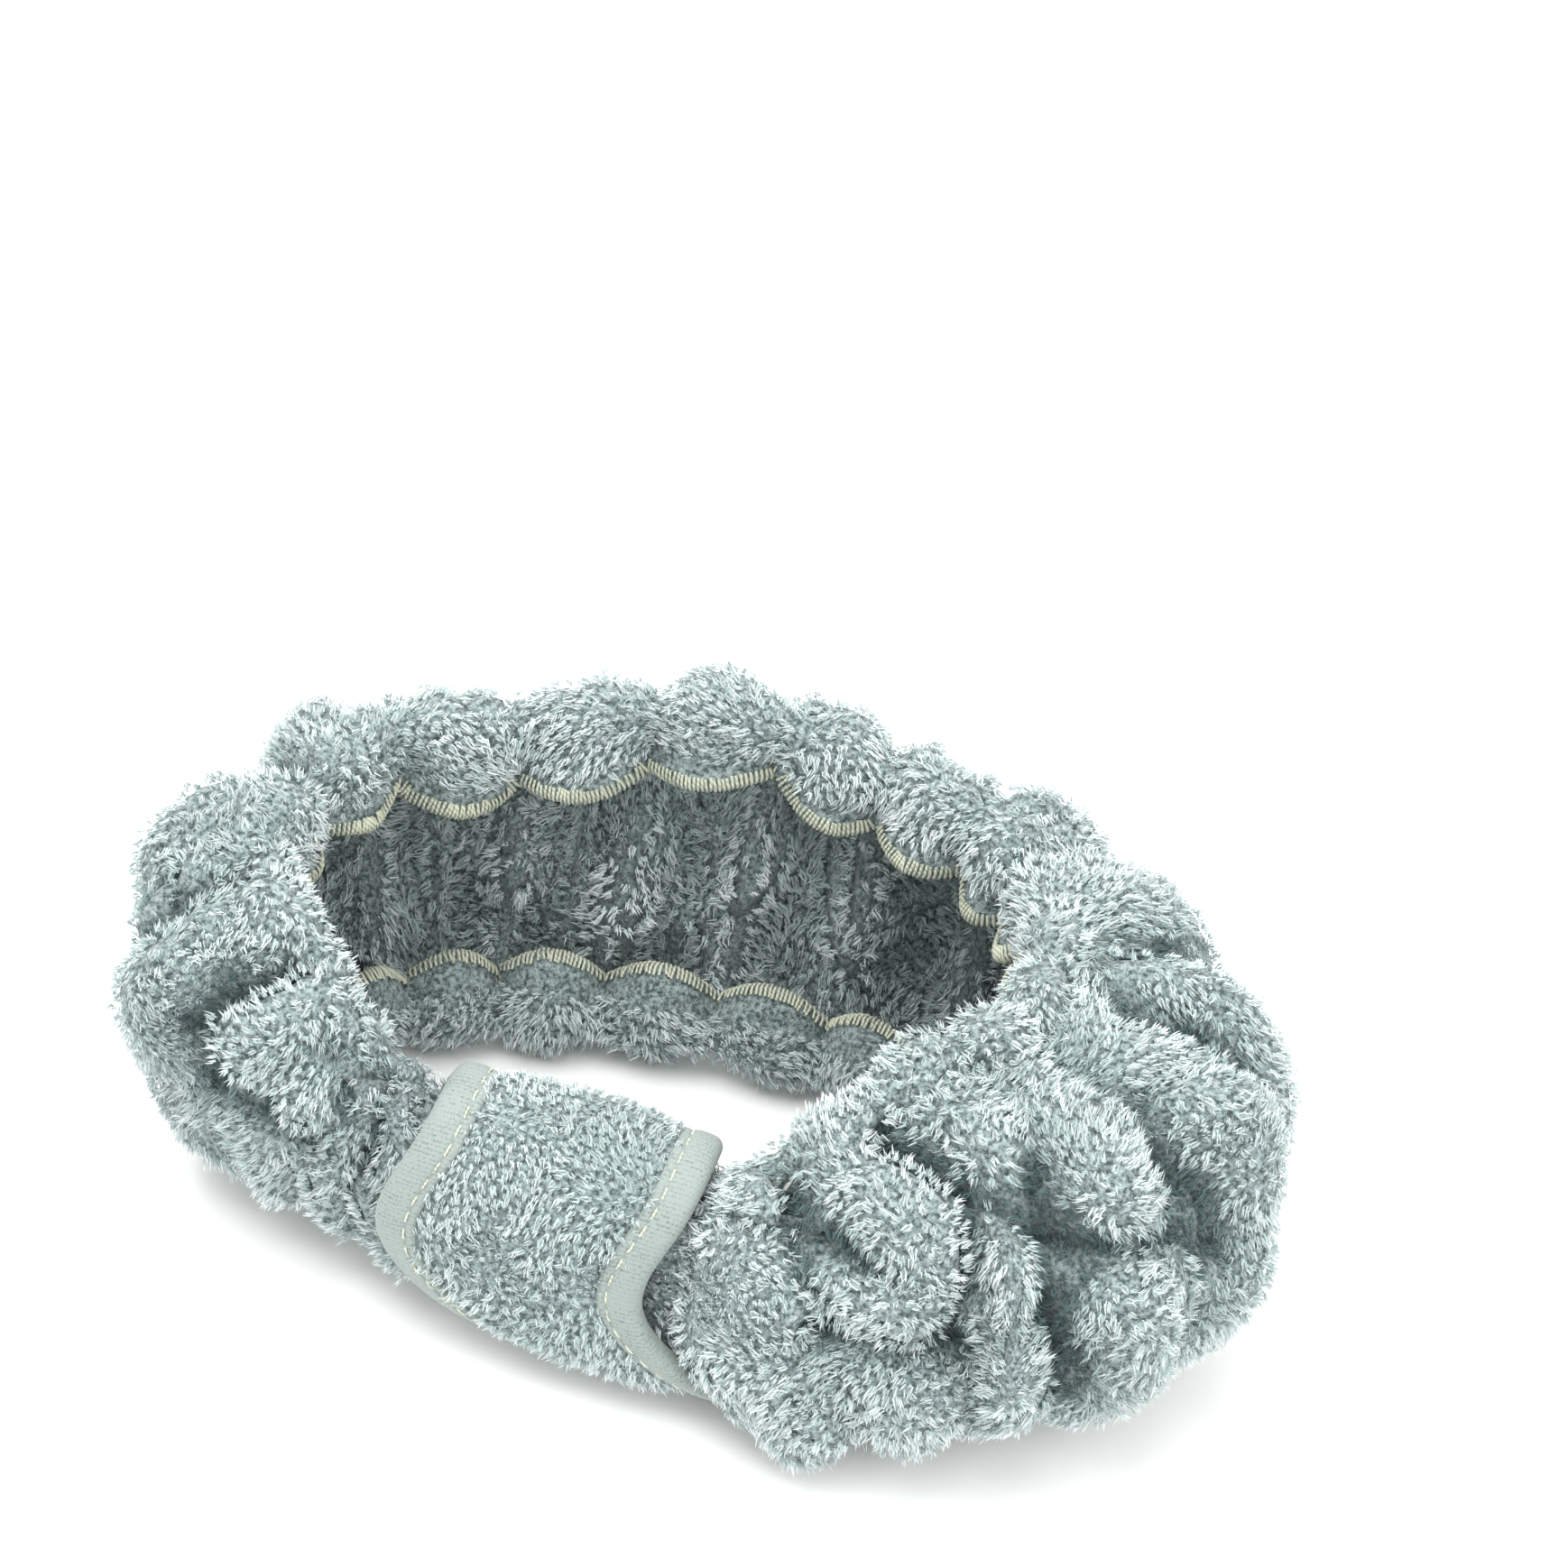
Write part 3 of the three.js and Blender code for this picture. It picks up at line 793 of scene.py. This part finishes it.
def overlockLoop():
    # over the raw edge and back, slanting a little, as one turn of the looper thread
    wide = stitch["overlockWide"]
    return threadModel("overlockLoop", [
        (0.1, wide, 0.7), (0.25, wide * 0.75, 1.6), (0.6, wide * 0.35, 1.8), (0.9, 0.0, 1.5),
        (1.0, -0.7, 0.2), (0.9, 0.0, -1.3), (0.9, wide * 0.4, -1.6),
    ], stitch["overlockThick"])


def needleStitch():
    half = stitch["length"] / 2
    return threadModel("needleStitch", [
        (-half, 0, -0.35), (-half * 0.7, 0, 0.1), (0, 0, 0.22), (half * 0.7, 0, 0.1), (half, 0, -0.35),
    ], stitch["thick"], 1)


def edgeFrames(share, direction):
    # places along one raw edge of the band, following its waves
    frames = []
    count = round(ringLength * 1.12 / stitch["overlockPitch"])
    for k in range(count):
        along = 26 + (ringLength - 52) * (k + 0.5) / count
        edge, inward, ahead = edgeSpot(along, share, direction)
        stray = noise.noise(Vector((along * 1.9, share * 7, 4.4))) * stitch["overlockStray"]
        loose = Matrix.Rotation(stray * 2, 4, "Z") @ Matrix.Diagonal((1, 1 + stray, 1 + stray, 1))
        frames.append(edgeMatrix(edge, ahead * direction, inward) @ loose)
    return frames


def edgeSpot(along, share, direction):
    index = round(share * (band["across"] - 1))
    rows = []
    for shift in (0.0, 0.8):
        at = stationAt(along + shift)
        spots = resample(clothSection(at), band["across"])[0]
        rows.append([clothPoint(at, spots, j) for j in (index, index + 3 * direction)])
    return rows[0][0], (rows[0][1] - rows[0][0]).normalized(), (rows[1][0] - rows[0][0]).normalized()


def edgeMatrix(place, ahead, inward):
    y = (inward - ahead * inward.dot(ahead)).normalized()
    z = ahead.cross(y)
    return Matrix.LocRotScale(place, Matrix((ahead, y, z)).transposed(), None)


# The sleeve round the gathered front
sleeve = {
    "width": 56.0,
    "round": 2.5,  # squareness of its oval section
    "panelOff": 2.6,  # cloth of the fleece panel off the gathered band
    "crown": 2.4,
    "underTape": 0.115,  # share of the panel's width bare under each tape
    "pileTall": 0.84,
    # painted shade value of the sleeve's pile
    "paler": 0.15,
    "bindingWidth": 8.5,
    "bindingCloth": 0.75,
    "bindingOff": 4.7,
    "tapeAcross": 30,
    "tapeRows": 140,
    "panelRows": 150,
    "panelAcross": 44,
}


def sleevePoint(off, along, turn):
    # turn 0..1 round the section, from the middle of the side that faces the head
    at = stationAt(along)
    angle = math.pi + turn * 2 * math.pi
    c, s = math.cos(angle), math.sin(angle)
    power = 2 / sleeve["round"]
    wide = band["gatheredDepth"] / 2 + off
    tall = band["gatheredHeight"] / 2 + off
    outside = wide * math.copysign(abs(c) ** power, c)
    up = tall * math.copysign(abs(s) ** power, s)
    return bandPoint(at, outside, band["gatheredBase"] + band["gatheredHeight"] / 2 + up)


def evenTurns(count):
    # turns spaced evenly along the oval, closed
    fine = [sleevePoint(3, 0, i / 720) for i in range(721)]
    lengths = [0.0]
    for a, b in zip(fine, fine[1:]):
        lengths.append(lengths[-1] + (b - a).length)
    turns = []
    for i in range(count + 1):
        want = lengths[-1] * i / count
        k = max(1, bisect_left(lengths, want))
        turns.append((k - 1 + (want - lengths[k - 1]) / (lengths[k] - lengths[k - 1])) / 720)
    return turns, lengths[-1] / mm


def wrapGrid(name, profile, rows):
    # a strip whose profile (off, along) runs across, wrapped once round the sleeve
    turns, loop = evenTurns(rows)
    deselectAll()
    bpy.ops.mesh.primitive_grid_add(x_subdivisions=len(profile) - 1, y_subdivisions=rows, size=1.0)
    piece = bpy.context.active_object
    piece.name = name
    mesh = piece.data
    uv = mesh.uv_layers.active.data
    steps = [0.0]
    for a, b in zip(profile, profile[1:]):
        steps.append(steps[-1] + math.dist(a, b))
    for loopCorner, corner in zip(mesh.loops, uv):
        j = round(corner.uv.x * (len(profile) - 1))
        i = round(corner.uv.y * rows)
        corner.uv = (steps[j] * mm, i / rows * loop * mm)
    for vertex in mesh.vertices:
        i = round((vertex.co.y + 0.5) * rows)
        j = round((vertex.co.x + 0.5) * (len(profile) - 1))
        vertex.co = sleevePoint(*profile[j], turns[i])
    return piece


def panelProfile():
    points = []
    end = sleeve["width"] / 2 - 1.2
    for j in range(sleeve["panelAcross"] + 1):
        along = mix(-end, end, j / sleeve["panelAcross"])
        crown = sleeve["crown"] * (1 - abs(along / (end - 6)) ** 3) if abs(along) < end - 6 else 0.0
        points.append((sleeve["panelOff"] + crown, along))
    return points


def bindingProfile(side):
    # from the lip under the sleeve, round the sleeve's edge, to the lip on top
    end = sleeve["width"] / 2
    wide = sleeve["bindingWidth"]
    top = sleeve["bindingOff"]
    points = [
        (0.7, end - wide + 1), (0.6, end - wide * 0.5), (0.7, end - 1.6), (1.4, end - 0.5), (2.7, end),
        (top - 1.3, end - 0.1), (top - 0.5, end - 0.7), (top + 0.05, end - 1.9),
        (top + 0.25, end - wide * 0.5), (top + 0.15, end - wide * 0.7),
        (top - 0.35, end - wide + stitch["inset"]),
        (top + 0.05, end - wide + 1.0), (top - 0.2, end - wide + 0.2), (top - 0.9, end - wide),
    ]
    points = resample(points, sleeve["tapeAcross"])[0]
    return [(off, along * side) for off, along in (points if side > 0 else points[::-1])]


def makeSleeve():
    panel = wrapGrid("sleevePanel", panelProfile(), sleeve["panelRows"])
    mesh = panel.data
    uv = mesh.uv_layers.active.data
    width = max(corner.uv.x for corner in uv)
    share = [0.0] * len(mesh.vertices)
    for corner, place in zip(mesh.loops, uv):
        share[corner.vertex_index] = place.uv.x / width
    attributes = {
        "keep": [0.0 if min(b, 1 - b) < sleeve["underTape"] else 1.0 for b in share],
        "tall": [sleeve["pileTall"]] * len(share),
        # painted shade: the sleeve's pile is painted one paler shade all over, as the crests are
        "ridge": [sleeve["paler"]] * len(share),
        "around": [0.5] * len(share),
        "across": share,
    }
    for name, values in attributes.items():
        mesh.attributes.new(name, "FLOAT", "POINT").data.foreach_set("value", values)
    bindings = []
    for side, word in ((-1, "Left"), (1, "Right")):
        tape = wrapGrid(f"binding{word}", bindingProfile(side), sleeve["tapeRows"])
        makeActive(tape)
        # the tape is a closed ring, joined under the sleeve
        bpy.ops.object.mode_set(mode="EDIT")
        bpy.ops.mesh.select_all(action="SELECT")
        bpy.ops.mesh.remove_doubles(threshold=joined)
        bpy.ops.object.mode_set(mode="OBJECT")
        thick = tape.modifiers.new("tape", "SOLIDIFY")
        thick.thickness = sleeve["bindingCloth"] * mm
        thick.offset = 0
        applyAll(tape)
        bpy.ops.object.shade_smooth()
        bindings.append(tape)
    return panel, bindings


def stitchLine(model, side, name):
    turns = evenTurns(round(stitch["lineLength"] / (stitch["length"] + stitch["gap"])))[0]
    along = side * (sleeve["width"] / 2 - sleeve["bindingWidth"] + stitch["inset"])
    off = sleeve["bindingOff"] + 0.3
    frames = []
    for turn in turns[:-1]:
        place = sleevePoint(off, along, turn)
        ahead = sleevePoint(off, along, turn + 0.005) - sleevePoint(off, along, turn - 0.005)
        up = sleevePoint(off + 2, along, turn) - place
        frames.append(frameAt(place, ahead, up))
    return repeatAlong(model, frames, name)


sleevePanel, bindings = makeSleeve()
print("sleeve: panel and two bindings")
needle = needleStitch()
overlocked = overlockLoop()
stitchLines = [stitchLine(needle, -1, "stitchingLeft"), stitchLine(needle, 1, "stitchingRight")]
overlocks = [
    repeatAlong(overlocked, edgeFrames(0, 1), "upperOverlock"),
    repeatAlong(overlocked, edgeFrames(1, -1), "lowerOverlock"),
]


def makeSleeveSeam():
    end = sleeve["width"] / 2 - sleeve["bindingWidth"] - 1
    frames = []
    count = round(2 * end / stitch["overlockPitch"])
    for k in range(count):
        along = mix(-end, end, (k + 0.5) / count)
        off = sleeve["panelOff"] + sleeve["crown"] * 0.8 + 1.0
        place = sleevePoint(off, along, 0.0)
        ahead = sleevePoint(off, along + 1, 0.0) - place
        out = sleevePoint(off + 2, along, 0.0) - place
        spot = frameAt(place, ahead, out)
        frames.append(spot @ Matrix.Translation((0, -stitch["overlockWide"] / 2 * mm, 0)))
    return repeatAlong(overlocked, frames, "sleeveSeam")


sleeveSeam = makeSleeveSeam()
print("stitching: overlocked edges, tape stitches and sleeve seam")


elastic = {"width": 7.0, "thick": 1.2, "hemTop": 25.0, "middle": 9.0, "inside": 0.16, "rows": 180}


def makeElastic(name, level):
    # lies half way between the two layers of its hem
    deselectAll()
    bpy.ops.mesh.primitive_grid_add(x_subdivisions=3, y_subdivisions=elastic["rows"], size=1.0)
    strip = bpy.context.active_object
    strip.name = name
    for vertex in strip.data.vertices:
        at = stationAt((vertex.co.y + 0.5) * ringLength)
        spots, length = resample(clothSection(at), band["across"])
        shift = elastic["middle"] + vertex.co.x * elastic["width"]
        layers = []
        for reach in (elastic["hemTop"] - shift, elastic["hemTop"] + shift):
            share = reach / length if level == "upper" else 1 - reach / length
            index = round(share * (band["across"] - 1))
            layers.append(clothPoint(at, spots, index))
        vertex.co = layers[0].lerp(layers[1], elastic["inside"])
    for corner in strip.data.uv_layers.active.data:
        corner.uv = (corner.uv.x * elastic["width"] * mm, corner.uv.y * ringLength * mm)
    bpy.ops.object.mode_set(mode="EDIT")
    bpy.ops.mesh.select_all(action="SELECT")
    bpy.ops.mesh.remove_doubles(threshold=joined)
    bpy.ops.object.mode_set(mode="OBJECT")
    strip.modifiers.new("web", "SOLIDIFY").thickness = elastic["thick"] * mm
    strip.modifiers["web"].offset = 0
    applyAll(strip)
    return strip


elastics = [makeElastic("upperElastic", "upper"), makeElastic("lowerElastic", "lower")]
for spare in (needle, overlocked):
    bpy.data.objects.remove(spare)
print("elastics: one in each hem")


# Camera, light and floor
view = {
    "place": (0.04166, -0.46890, 0.52369),
    "turn": (49.089, -5.485, 8.640),
    "lens": 74.1,
}
cameraData = bpy.data.cameras.new("camera")
cameraData.lens = view["lens"]
cameraData.sensor_width = 36.0
cameraData.clip_start = 0.01
camera = bpy.data.objects.new("camera", cameraData)
camera.location = view["place"]
camera.rotation_euler = Euler([math.radians(a) for a in view["turn"]])
bpy.context.scene.collection.objects.link(camera)
bpy.context.scene.camera = camera

studio = {
    "floor": "#F6F7F6",
    "sky": "#F8F8F8",
    "skyStrength": 1.24,
    "keyPower": 12.0,
    "keySize": 0.9,
    "keyPlace": (-0.25, 0.05, 1.0),
    "fillPower": 4.0,
    "fillPlace": (0.7, -0.5, 0.6),
}


def addLight(name, place, power, size):
    deselectAll()
    bpy.ops.object.light_add(type="AREA", location=place)
    lamp = bpy.context.active_object
    lamp.name = name
    lamp.data.energy = power
    lamp.data.size = size
    lamp.rotation_euler = (-Vector(place)).to_track_quat("-Z", "Y").to_euler()
    return lamp


addLight("keyLight", studio["keyPlace"], studio["keyPower"], studio["keySize"])
addLight("fillLight", studio["fillPlace"], studio["fillPower"], studio["keySize"])
world = bpy.data.worlds.new("studio")
bpy.context.scene.world = world
world.use_nodes = True
world.node_tree.nodes["Background"].inputs["Color"].default_value = srgb(studio["sky"])
world.node_tree.nodes["Background"].inputs["Strength"].default_value = studio["skyStrength"]
bpy.context.scene.view_settings.view_transform = "Standard"

deselectAll()
bpy.ops.mesh.primitive_grid_add(x_subdivisions=4, y_subdivisions=4, size=6.0, location=(0, 0, -0.0002))
floor = bpy.context.active_object
floor.name = "floor"
floorPaint = bpy.data.materials.new("mattWhiteBackdrop")
floorPaint.use_nodes = True
floorPaint.node_tree.nodes["Principled BSDF"].inputs["Base Color"].default_value = srgb(studio["floor"])
floorPaint.node_tree.nodes["Principled BSDF"].inputs["Roughness"].default_value = 0.9
floor.data.materials.append(floorPaint)
print("studio: camera, lights and floor")


def groundPaint():
    # knitted ground seen between the locks: short under-pile, mottled from shadow to dyed tips
    paint = bpy.data.materials.new("plushMicrofibreGround")
    paint.use_nodes = True
    tree = paint.node_tree
    look = tree.nodes["Principled BSDF"]
    look.inputs["Roughness"].default_value = 0.9
    look.inputs["Sheen Weight"].default_value = 0.2
    place = addNode(tree, "ShaderNodeTexCoord").outputs["Object"]
    fibres = addNode(tree, "ShaderNodeTexNoise", None, {
        "Vector": place, "Scale": 900.0, "Detail": 4.0, "Roughness": 0.65,
    })
    ramp = addNode(tree, "ShaderNodeValToRGB", None, {0: fibres.outputs[0]})
    ramp.color_ramp.elements[0].position, ramp.color_ramp.elements[0].color = 0.38, srgb("#40504F")
    ramp.color_ramp.elements[1].position, ramp.color_ramp.elements[1].color = 0.66, srgb("#B4C5C5")
    # painted shade: the ground is mixed towards #2F3B3B, most in the creases
    ridge = addNode(tree, "ShaderNodeAttribute", {"attribute_name": "ridge"}).outputs["Fac"]
    shade = addNode(tree, "ShaderNodeMath", {"operation": "MULTIPLY_ADD", "use_clamp": True}, {
        0: ridge, 1: 0.4, 2: 0.9,
    })
    shaded = addNode(tree, "ShaderNodeMix", {"data_type": "RGBA"}, {
        0: shade.outputs[0], 6: srgb("#2F3B3B"), 7: ramp.outputs[0],
    })
    tree.links.new(shaded.outputs[2], look.inputs["Base Color"])
    relief = addNode(tree, "ShaderNodeBump", None, {
        "Strength": 1.0, "Distance": 0.0012, "Height": fibres.outputs[0],
    })
    tree.links.new(relief.outputs[0], look.inputs["Normal"])
    return paint


clothPaint = groundPaint()

seedStep = 20  # keeps the random draws of the three sets apart
locks = makeLocks()
growth = pileTree(locks, pilePaint())
pilePieces = []
for number, (name, plan) in enumerate(pileSets.items()):
    cloth = sleevePanel if name == "sleevePile" else fleeceSheet
    pilePieces += growPile(cloth, name, plan, growth, seedStep * number)


def wovenPaint(name, pale, dark, settings):
    # fabric of fine ribs on the piece's own UV map, in metres: colour, specks and relief
    paint = bpy.data.materials.new(name)
    paint.use_nodes = True
    tree = paint.node_tree
    look = tree.nodes["Principled BSDF"]
    look.inputs["Roughness"].default_value = settings["roughness"]
    look.inputs["Sheen Weight"].default_value = settings["sheen"]

    def add(kind, options=None, inputs=None):
        return addNode(tree, kind, options, inputs)

    place = add("ShaderNodeUVMap").outputs[0]
    ribs = add("ShaderNodeTexWave", {"bands_direction": settings["ribsAlong"]}, {
        "Vector": place, "Scale": 2 * math.pi / 20 / (settings["rib"] * mm), "Distortion": 1.2, "Detail": 1.0,
        "Detail Scale": 3.0,
    }).outputs["Fac"]
    stretched = add("ShaderNodeMapping", None, {0: place, 3: settings["speckShape"]}).outputs[0]
    specks = add("ShaderNodeTexNoise", None, {
        "Vector": stretched, "Scale": 1 / (settings["speck"] * mm), "Detail": 3.0, "Roughness": 0.6,
    }).outputs[0]
    wear = add("ShaderNodeTexNoise", None, {"Vector": place, "Scale": 1 / (9 * mm), "Detail": 2.0}).outputs[0]
    height = add("ShaderNodeMath", {"operation": "MULTIPLY_ADD"}, {
        0: ribs, 1: settings["ribShade"], 2: specks,
    }).outputs[0]
    shade = add("ShaderNodeMath", {"operation": "MULTIPLY_ADD"}, {0: wear, 1: 0.35, 2: height}).outputs[0]
    ramp = add("ShaderNodeValToRGB", None, {0: shade})
    ramp.color_ramp.elements[0].position, ramp.color_ramp.elements[0].color = settings["from"], srgb(dark)
    ramp.color_ramp.elements[1].position, ramp.color_ramp.elements[1].color = settings["to"], srgb(pale)
    tree.links.new(ramp.outputs[0], look.inputs["Base Color"])
    relief = add("ShaderNodeBump", None, {
        "Strength": 0.7, "Distance": settings["relief"] * mm, "Height": height,
    })
    tree.links.new(relief.outputs[0], look.inputs["Normal"])
    return paint


def threadTwist():
    # polyester sewing thread: matt, off-white, with the twist of its plies
    paint = bpy.data.materials.new("polyesterThread")
    paint.use_nodes = True
    tree = paint.node_tree
    look = tree.nodes["Principled BSDF"]
    look.inputs["Roughness"].default_value = 0.6
    look.inputs["Sheen Weight"].default_value = 0.3
    place = addNode(tree, "ShaderNodeTexCoord").outputs["Object"]
    plies = addNode(tree, "ShaderNodeTexWave", {"bands_direction": "DIAGONAL"}, {
        "Vector": place, "Scale": 420.0, "Distortion": 2.0, "Detail": 1.0,
    }).outputs["Fac"]
    patches = addNode(tree, "ShaderNodeTexNoise", None, {
        "Vector": place, "Scale": 160.0, "Detail": 2.0,
    }).outputs[0]
    shade = addNode(tree, "ShaderNodeMath", {"operation": "MULTIPLY_ADD"}, {
        0: plies, 1: 0.45, 2: patches,
    }).outputs[0]
    # painted shade: the dark end is the thread's colour in shade and the pale end its lit colour, mixed along
    # the plies and in patches
    ramp = addNode(tree, "ShaderNodeValToRGB", None, {0: shade})
    ramp.color_ramp.elements[0].position, ramp.color_ramp.elements[0].color = 0.3, srgb("#979D89")
    ramp.color_ramp.elements[1].position, ramp.color_ramp.elements[1].color = 0.85, srgb("#D0D4BE")
    tree.links.new(ramp.outputs[0], look.inputs["Base Color"])
    relief = addNode(tree, "ShaderNodeBump", None, {"Strength": 0.5, "Distance": 0.0002, "Height": plies})
    tree.links.new(relief.outputs[0], look.inputs["Normal"])
    return paint


# brushed knit tape folded over the sleeve's edges: matt grey-green with small dark flecks
tapePaint = wovenPaint("brushedKnitTape", "#929C98", "#4F5A57", {
    "roughness": 0.92, "sheen": 0.25, "ribsAlong": "Y", "rib": 0.9, "ribShade": 0.16, "speck": 0.35,
    "speckShape": (1.0, 0.42, 1.0), "from": 0.38, "to": 0.74, "relief": 0.25,
})
# woven elastic webbing inside the hems: dull white ribs
elasticPaint = wovenPaint("wovenElastic", "#D8D9D2", "#8F918B", {
    "roughness": 0.7, "sheen": 0.1, "ribsAlong": "X", "rib": 1.1, "ribShade": 0.5, "speck": 0.6,
    "speckShape": (1.0, 1.0, 1.0), "from": 0.4, "to": 1.0, "relief": 0.3,
})
threadPaint = threadTwist()

for cloth in (fleeceSheet, sleevePanel):
    cloth.data.materials.append(clothPaint)
    cloth.modifiers.new("cloth", "SOLIDIFY").thickness = band["cloth"] * mm
    cloth.modifiers["cloth"].offset = 0
    applyAll(cloth)
    bpy.ops.object.shade_smooth()
for tape in bindings:
    tape.data.materials.append(tapePaint)
for thread in [*stitchLines, *overlocks, sleeveSeam]:
    thread.data.materials.append(threadPaint)
for strip in elastics:
    strip.data.materials.append(elasticPaint)
print("materials: pile, ground, tape, elastic and thread")

sleevePile = [p for p in pilePieces if p.name.startswith("sleeve")]
bandPile = [p for p in pilePieces if p not in sleevePile]
for piece in [fleeceSheet, *bandPile, *overlocks, *elastics]:
    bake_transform(piece)  # stretches over the sides
for piece in [sleevePanel, *sleevePile, *bindings, *stitchLines, sleeveSeam]:
    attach(piece, "front")
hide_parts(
    "fleece_front_right", "fleece_side_right", "fleece_back", "fleece_side_left",
    "fleece_front_left", "band_end_seam",
)
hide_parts("sleeve_panel")
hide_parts("sleeve_seam")
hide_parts("upper_elastic")
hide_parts("lower_elastic")
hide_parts("upper_overlock")
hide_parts("lower_overlock")
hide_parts("sleeve_binding_left")
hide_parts("sleeve_binding_right")
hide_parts("binding_stitching_left")
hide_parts("binding_stitching_right")
